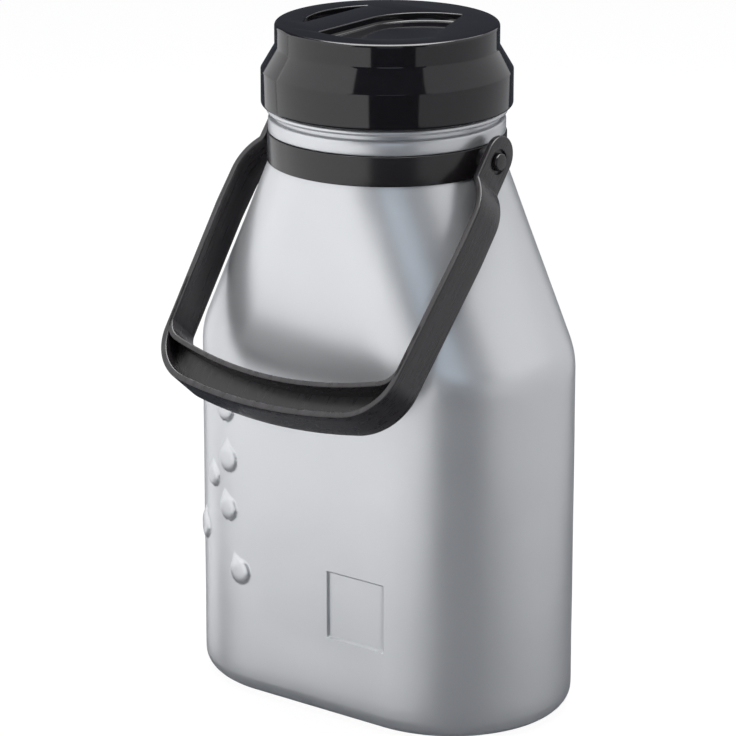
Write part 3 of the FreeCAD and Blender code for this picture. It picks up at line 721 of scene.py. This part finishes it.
def swung(parts):
    # turn about the hinge axis to the resting angle and lift to the hinge's height
    a = math.radians(bail["angle"])
    turned = []
    for points, faces in parts:
        x, y, z = np.moveaxis(np.asarray(points, float), -1, 0)
        turned.append((np.stack([x, y * math.cos(a) + z * math.sin(a),
                                 z * math.cos(a) - y * math.sin(a) + hinge["height"]], -1), faces))
    return turned


def resampled(run, count):
    # evenly spaced along the run
    along = np.concatenate([[0], np.cumsum(np.linalg.norm(np.diff(run, axis=0), axis=1))])
    t = np.linspace(0, along[-1], count)
    return np.stack([np.interp(t, along, run[:, 0]), np.interp(t, along, run[:, 1])], 1)


armFrom = bail["armStart"] + (bail["armOffset"] - kink["armX"]) / math.tan(bail["taper"])
strapHalf = np.concatenate([offsetRun(), bailRun((kink["armX"], -armFrom), crossbar)])
strapRun = bothHalves(strapHalf)
strapGrid = swept(strapRun, strapRing(bail["half"], bail["soft"]))
bailParts = [(strapGrid, gridFaces(*strapGrid.shape[:2]))]

strapAtGrip = bail["armOffset"] - (grip["start"] - bail["armStart"]) * math.tan(bail["taper"])
gripRun = bothHalves(bailRun((strapAtGrip - grip["inset"], -grip["start"]), grip))
gripGrid = swept(gripRun, strapRing(grip["half"], bail["soft"]))
bailParts.append(capped(gripGrid, *gripGrid.shape[:2]))

count = web["stations"]
outerLine = resampled(bothHalves(bailRun((strapAtGrip, -grip["start"]), crossbar)), count)
innerLine = resampled(gripRun, count)
corners = [(innerLine, web["front"]), (outerLine, web["front"]),
           (outerLine, web["back"]), (innerLine, web["back"])]
webRing = np.stack([np.stack([line[:, 0], np.full(count, level), line[:, 1]], -1)
                    for line, level in corners], 1)
bailParts.append(capped(webRing, *webRing.shape[:2]))
eyeParts = hingeEye()
bailParts += eyeParts + [mirrored(part) for part in eyeParts]
bailStrap = meshObject("bailStrap", swung(bailParts), satin, "bail", 30)
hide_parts("handle")
print("bail handle made")


studio = {"floorHalf": 6.0, "floorGrey": 0.90, "world": 0.075, "shown": 0.95,
          "shade": (0.85, 0.96, 1.16, 1), "cardReach": 1.7, "cardLow": -2.0, "cardHigh": 2.6}
# azimuth and elevation, distance, height of the middle, width, height, coolness, brightness
softBoxes = {"leftLow": (-30, 0, 0.7, 0.03, 1.73, 0.55, 0, 1.33),
             "leftHigh": (-40, 0, 0.7, 0.8, 1.26, 1.0, 0, 1.45),
             "sideLeft": (-95, 0, 0.7, 0.15, 0.36, 0.8, 0, 1.05),
             "rightLow": (124, 0, 0.7, 0.03, 2.3, 0.54, 0, 0.62),
             "rightHigh": (132, 0, 0.7, 0.8, 2.0, 1.0, 0, 0.86),
             "frontHigh": (40, 0, 0.95, 0.42, 0.42, 0.34, 0.16, 0.85),
             "overhead": (217, 88, 1.2, 0.1, 1.1, 1.1, 0, 9.0),
             "back": (205, 55, 1.2, 0.1, 1.0, 0.6, 0, 1.6)}
view = {"target": (-5.53, -4.23, 123.8), "distance": 1348.9, "azimuth": 37.43, "elevation": 17.16,
        "lens": 176.9, "sensor": 36}


def directionOf(azimuth, elevation):
    # unit vector towards a direction, azimuth from the front and elevation from level
    a, e = math.radians(azimuth), math.radians(elevation)
    return Vector((math.cos(e) * math.sin(a), -math.cos(e) * math.cos(a), math.sin(e)))


def paleFloor():
    # pale card; the camera sees it mostly as plain white that still takes the object's shadow
    material = bpy.data.materials.new("paleFloor")
    graph = Graph(material)
    card = graph.add("ShaderNodeBsdfDiffuse", {}, {"Color": grey(studio["floorGrey"])})
    white = graph.add("ShaderNodeEmission", {}, {"Color": (1, 1, 1, 1), "Strength": 1.0})
    path = graph.add("ShaderNodeLightPath")
    share = path * studio["shown"]
    both = graph.add("ShaderNodeMixShader", {}, {0: share, 1: card, 2: white})
    graph.add("ShaderNodeOutputMaterial", {}, {"Surface": both})
    return material


def plainFloor():
    # a wide flat card under the can
    half = studio["floorHalf"]
    mesh = bpy.data.meshes.new("floor")
    corners = [(-half, -half, 0), (half, -half, 0), (half, half, 0), (-half, half, 0)]
    mesh.from_pydata(corners, [], [(0, 1, 2, 3)])
    mesh.materials.append(paleFloor())
    floor = bpy.data.objects.new("floor", mesh)
    bpy.context.scene.collection.objects.link(floor)
    floor.visible_glossy = False            # the lamps' lower halves stand below table height


def darkCards():
    # a ring of dark cards behind and below the lamps, met only by reflections and open above
    half, low, high = studio["cardReach"], studio["cardLow"], studio["cardHigh"]
    wall, faces = revolve([(mm, low), (half, low), (half, high)], 48)
    mesh = bpy.data.meshes.new("darkCards")
    mesh.from_pydata(wall.reshape(-1, 3).tolist(), [], faces.tolist())
    material = bpy.data.materials.new("darkCard")
    graph = Graph(material)
    level = {"Color": studio["shade"], "Strength": studio["world"]}
    dim = graph.add("ShaderNodeEmission", {}, level)
    graph.add("ShaderNodeOutputMaterial", {}, {"Surface": dim})
    mesh.materials.append(material)
    cards = bpy.data.objects.new("darkCards", mesh)
    bpy.context.scene.collection.objects.link(cards)
    for kind in ("camera", "diffuse", "transmission", "volume_scatter", "shadow"):
        setattr(cards, "visible_" + kind, False)


def softBox(name, azimuth, elevation, reach, level, width, height, coolness, brightness):
    # an even rectangular lamp that faces the object's axis from a direction, at a height
    toward = directionOf(azimuth, elevation)
    lamp = bpy.data.lights.new(name, "AREA")
    lamp.shape, lamp.size, lamp.size_y = "RECTANGLE", width, height
    lamp.energy = brightness * math.pi * width * height
    lamp.color = grey(1, coolness)[:3]
    stand = bpy.data.objects.new(name, lamp)
    stand.location = Vector((0, 0, level)) + toward * reach
    stand.rotation_euler = toward.to_track_quat("Z", "Y").to_euler()
    stand.visible_camera = False
    bpy.context.scene.collection.objects.link(stand)


def whiteWorld():
    # white to the camera and in reflections and glass, a dim cool grey as light
    world = bpy.data.worlds.new("studio")
    bpy.context.scene.world = world
    graph = Graph(world)
    path = graph.add("ShaderNodeLightPath")
    indirect = graph.maths("MAXIMUM", path.other("Is Glossy Ray"), path.other("Is Transmission Ray"))
    shown = graph.maths("MAXIMUM", path.other("Is Camera Ray"), indirect)
    level = {"Color": studio["shade"], "Strength": studio["world"]}
    soft = graph.add("ShaderNodeBackground", {}, level)
    white = graph.add("ShaderNodeBackground", {}, {"Color": (1, 1, 1, 1), "Strength": 1.0})
    both = graph.add("ShaderNodeMixShader", {}, {0: shown, 1: soft, 2: white})
    graph.add("ShaderNodeOutputWorld", {}, {"Surface": both})


plainFloor()
darkCards()
whiteWorld()
for name, setting in softBoxes.items():
    softBox(name, *setting)

towardCamera = directionOf(view["azimuth"], view["elevation"])
lens = bpy.data.cameras.new("camera")
lens.lens, lens.sensor_width = view["lens"], view["sensor"]
camera = bpy.data.objects.new("camera", lens)
camera.location = (Vector(view["target"]) + towardCamera * view["distance"]) * mm
camera.rotation_euler = towardCamera.to_track_quat("Z", "Y").to_euler()
bpy.context.scene.collection.objects.link(camera)
bpy.context.scene.camera = camera
bpy.context.scene.view_settings.view_transform = "Standard"
print("stage made")
